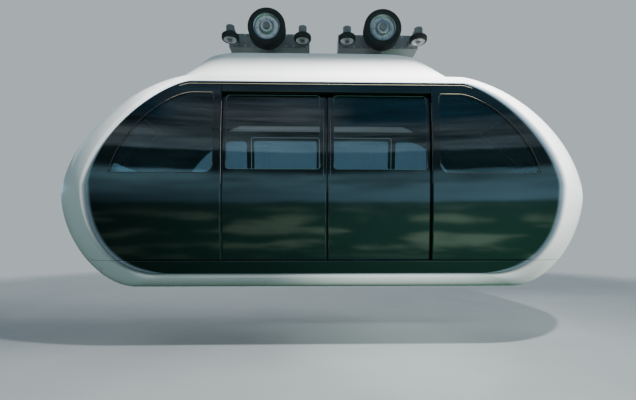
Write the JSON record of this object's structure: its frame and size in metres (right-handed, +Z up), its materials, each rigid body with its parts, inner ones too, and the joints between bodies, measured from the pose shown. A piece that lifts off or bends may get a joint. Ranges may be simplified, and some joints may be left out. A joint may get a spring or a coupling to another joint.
{
  "type": "personal rapid transit pod",
  "caption": "Hanging transit pod: white ring-shaped shell, dark glazed sides with sliding doors, end benches, roof fairing, and trucks with running and guide wheels above.",
  "frame": {"origin": "on the running surface of the rail, in the middle plane of the pod, midway between the two king pins", "axes": "+X forward along the pod and the rail, +Y to its left, +Z up"},
  "size_m": [6.034, 1.9998, 3.19],
  "materials": {
    "white_shell": "gloss white paint",
    "black_gloss": "black gloss",
    "tinted_glass": "dark tinted, polished",
    "dark_plastic": "grained",
    "deck_cover": "ribbed floor covering",
    "seat_fabric": "woven",
    "truck_steel": "satin grey paint",
    "tyre": "rubber",
    "lamp_lens": "clear lens over a white bar"
  },
  "bodies": {
    "cabin": {"belly_tub": "white_shell", "side_arch_left": "white_shell", "side_arch_right": "white_shell", "roof_panel": "white_shell", "nose_front": "white_shell", "nose_rear": "white_shell", "windshield_front": "tinted_glass", "windshield_rear": "tinted_glass", "nose_lamp_front": "lamp_lens", "nose_lamp_rear": "lamp_lens", "side_skirt_left": "black_gloss", "side_skirt_right": "black_gloss", "door_header_left": "black_gloss", "door_header_right": "black_gloss", "side_panel_front_left": "black_gloss", "side_panel_rear_left": "black_gloss", "side_panel_front_right": "black_gloss", "side_panel_rear_right": "black_gloss", "side_window_front_left": "tinted_glass", "side_window_rear_left": "tinted_glass", "side_window_front_right": "tinted_glass", "side_window_rear_right": "tinted_glass", "floor_deck": "deck_cover", "bench_front": "dark_plastic", "bench_rear": "dark_plastic", "seat_cushion_front": "seat_fabric", "seat_cushion_rear": "seat_fabric", "back_cushion_front": "seat_fabric", "back_cushion_rear": "seat_fabric", "roof_fairing": "white_shell", "hanger_front": "truck_steel", "hanger_rear": "truck_steel"},
    "door_front_left": {"door_leaf_front_left": "black_gloss", "door_window_front_left": "tinted_glass"},
    "door_rear_left": {"door_leaf_rear_left": "black_gloss", "door_window_rear_left": "tinted_glass"},
    "door_front_right": {"door_leaf_front_right": "black_gloss", "door_window_front_right": "tinted_glass"},
    "door_rear_right": {"door_leaf_rear_right": "black_gloss", "door_window_rear_right": "tinted_glass"},
    "truck_front": {"truck_frame_front": "truck_steel"},
    "truck_rear": {"truck_frame_rear": "truck_steel"},
    "wheel_front_left": {"running_wheel_front_left": "tyre"},
    "wheel_front_right": {"running_wheel_front_right": "tyre"},
    "wheel_rear_left": {"running_wheel_rear_left": "tyre"},
    "wheel_rear_right": {"running_wheel_rear_right": "tyre"},
    "guide_front_left_a": {"guide_wheel_front_left_a": "tyre"},
    "guide_front_left_b": {"guide_wheel_front_left_b": "tyre"},
    "guide_front_right_a": {"guide_wheel_front_right_a": "tyre"},
    "guide_front_right_b": {"guide_wheel_front_right_b": "tyre"},
    "guide_rear_left_a": {"guide_wheel_rear_left_a": "tyre"},
    "guide_rear_left_b": {"guide_wheel_rear_left_b": "tyre"},
    "guide_rear_right_a": {"guide_wheel_rear_right_a": "tyre"},
    "guide_rear_right_b": {"guide_wheel_rear_right_b": "tyre"}
  },
  "joints": [
    {"name": "truck_front_yaw", "type": "hinge", "parent": "cabin", "child": "truck_front", "pos_m": [0.68, 0, 0.2], "axis": [0, 0, 1], "range_deg": [-12, 12]},
    {"name": "truck_rear_yaw", "type": "hinge", "parent": "cabin", "child": "truck_rear", "pos_m": [-0.68, 0, 0.2], "axis": [0, 0, -1], "range_deg": [-12, 12]},
    {"name": "door_left_slide", "type": "slide", "parent": "cabin", "child": "door_front_left", "axis": [1, 0, 0], "range_m": [0, 0.57]},
    {"name": "door_left_rear_slide", "type": "slide", "parent": "cabin", "child": "door_rear_left", "axis": [-1, 0, 0], "range_m": [0, 0.57]},
    {"name": "door_right_slide", "type": "slide", "parent": "cabin", "child": "door_front_right", "axis": [1, 0, 0], "range_m": [0, 0.57]},
    {"name": "door_right_rear_slide", "type": "slide", "parent": "cabin", "child": "door_rear_right", "axis": [-1, 0, 0], "range_m": [0, 0.57]},
    {"name": "wheel_front_left_spin", "type": "hinge", "parent": "truck_front", "child": "wheel_front_left", "pos_m": [0.68, 0.36, 0.22], "axis": [0, 1, 0], "continuous": true},
    {"name": "wheel_front_right_spin", "type": "hinge", "parent": "truck_front", "child": "wheel_front_right", "pos_m": [0.68, -0.36, 0.22], "axis": [0, 1, 0], "continuous": true},
    {"name": "wheel_rear_left_spin", "type": "hinge", "parent": "truck_rear", "child": "wheel_rear_left", "pos_m": [-0.68, 0.36, 0.22], "axis": [0, 1, 0], "continuous": true},
    {"name": "wheel_rear_right_spin", "type": "hinge", "parent": "truck_rear", "child": "wheel_rear_right", "pos_m": [-0.68, -0.36, 0.22], "axis": [0, 1, 0], "continuous": true},
    {"name": "guide_front_left_a_spin", "type": "hinge", "parent": "truck_front", "child": "guide_front_left_a", "pos_m": [1.1, 0.4, 0.092], "axis": [0, 0, 1], "continuous": true},
    {"name": "guide_front_left_b_spin", "type": "hinge", "parent": "truck_front", "child": "guide_front_left_b", "pos_m": [0.26, 0.4, 0.092], "axis": [0, 0, 1], "continuous": true},
    {"name": "guide_front_right_a_spin", "type": "hinge", "parent": "truck_front", "child": "guide_front_right_a", "pos_m": [1.1, -0.4, 0.092], "axis": [0, 0, 1], "continuous": true},
    {"name": "guide_front_right_b_spin", "type": "hinge", "parent": "truck_front", "child": "guide_front_right_b", "pos_m": [0.26, -0.4, 0.092], "axis": [0, 0, 1], "continuous": true},
    {"name": "guide_rear_left_a_spin", "type": "hinge", "parent": "truck_rear", "child": "guide_rear_left_a", "pos_m": [-0.26, 0.4, 0.092], "axis": [0, 0, 1], "continuous": true},
    {"name": "guide_rear_left_b_spin", "type": "hinge", "parent": "truck_rear", "child": "guide_rear_left_b", "pos_m": [-1.1, 0.4, 0.092], "axis": [0, 0, 1], "continuous": true},
    {"name": "guide_rear_right_a_spin", "type": "hinge", "parent": "truck_rear", "child": "guide_rear_right_a", "pos_m": [-0.26, -0.4, 0.092], "axis": [0, 0, 1], "continuous": true},
    {"name": "guide_rear_right_b_spin", "type": "hinge", "parent": "truck_rear", "child": "guide_rear_right_b", "pos_m": [-1.1, -0.4, 0.092], "axis": [0, 0, 1], "continuous": true}
  ],
  "couplings": [
    {"joint": "door_left_rear_slide", "follows": "door_left_slide", "ratio": 1},
    {"joint": "door_right_rear_slide", "follows": "door_right_slide", "ratio": 1}
  ]
}
